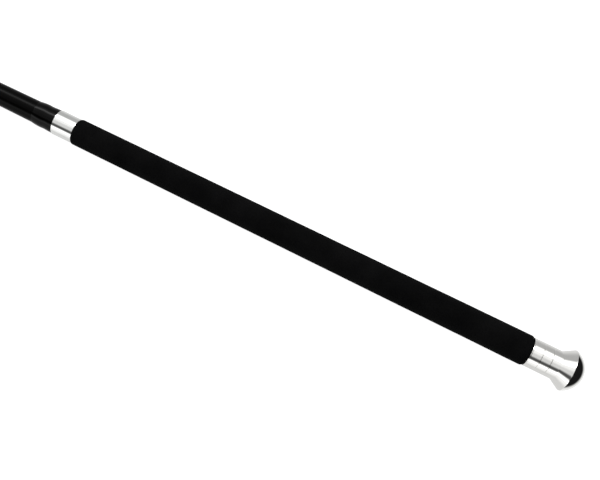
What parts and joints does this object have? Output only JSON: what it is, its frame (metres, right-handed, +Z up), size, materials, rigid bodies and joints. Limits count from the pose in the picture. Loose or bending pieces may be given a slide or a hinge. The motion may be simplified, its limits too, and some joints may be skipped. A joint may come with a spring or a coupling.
{
  "type": "telescopic long cane",
  "caption": "Telescopic long cane with a foam handle, polished end knob, taper-locked reflective sections and a rolling tip.",
  "frame": {"origin": "on the cane's axis, at the middle of the foam grip's length", "axes": "+X along the cane towards the end knob, so the tip points to -X with the cane pulled out; the cane is a body of revolution, and +Z is up as it lies on a table"},
  "size_m": [1.4078, 0.0296, 0.0296],
  "materials": {
    "black_composite": "satin",
    "grip_foam": "matte",
    "polished_aluminium": "polished",
    "turned_aluminium": "satin",
    "black_anodised": "satin",
    "black_gloss_sleeve": "gloss",
    "white_reflective": "satin",
    "red_reflective": "satin",
    "white_nylon": "satin",
    "black_rubber": "matte",
    "steel": "satin"
  },
  "bodies": {
    "handle": {"handle_tube": "black_composite", "foam_grip": "grip_foam", "front_collar": "polished_aluminium", "collar_boot": "black_gloss_sleeve", "end_knob": "polished_aluminium", "knob_stud": "steel", "tube_insert": "turned_aluminium", "knob_seal": "black_rubber", "buffer_plug": "black_rubber", "mouth_ring_1": "black_anodised"},
    "section_2": {"section_tube_2": "black_composite", "reflective_sleeve_2": "white_reflective", "lock_cone_2": "turned_aluminium", "mouth_ring_2": "black_anodised"},
    "section_3": {"section_tube_3": "black_composite", "reflective_sleeve_3": "white_reflective", "lock_cone_3": "turned_aluminium", "mouth_ring_3": "black_anodised"},
    "section_4": {"section_tube_4": "black_composite", "reflective_sleeve_4": "red_reflective", "lock_cone_4": "turned_aluminium", "tip_adapter": "turned_aluminium", "tip_spindle": "steel", "thrust_spacer": "turned_aluminium", "inner_spacer": "turned_aluminium", "bearing_inner_rings": "steel"},
    "roller": {"roller_shell": "white_nylon", "bearing_outer_rings": "steel", "bearing_shields": "steel", "nose_cap": "white_nylon", "outer_spacer": "turned_aluminium"},
    "ball_cage": {"bearing_balls": "steel", "bearing_cages": "steel"}
  },
  "joints": [
    {"name": "section_2_slide", "type": "slide", "parent": "handle", "child": "section_2", "axis": [1, 0, 0], "range_m": [0, 0.2965]},
    {"name": "section_3_slide", "type": "slide", "parent": "section_2", "child": "section_3", "axis": [1, 0, 0], "range_m": [0, 0.288]},
    {"name": "section_4_slide", "type": "slide", "parent": "section_3", "child": "section_4", "axis": [1, 0, 0], "range_m": [0, 0.2665]},
    {"name": "roller_spin", "type": "hinge", "parent": "section_4", "child": "roller", "pos_m": [-1.1588, 0, 0], "axis": [1, 0, 0], "continuous": true},
    {"name": "ball_cage_spin", "type": "hinge", "parent": "section_4", "child": "ball_cage", "pos_m": [-1.1588, 0, 0], "axis": [1, 0, 0], "continuous": true}
  ],
  "couplings": [
    {"joint": "ball_cage_spin", "follows": "roller_spin", "ratio": 0.6099}
  ]
}
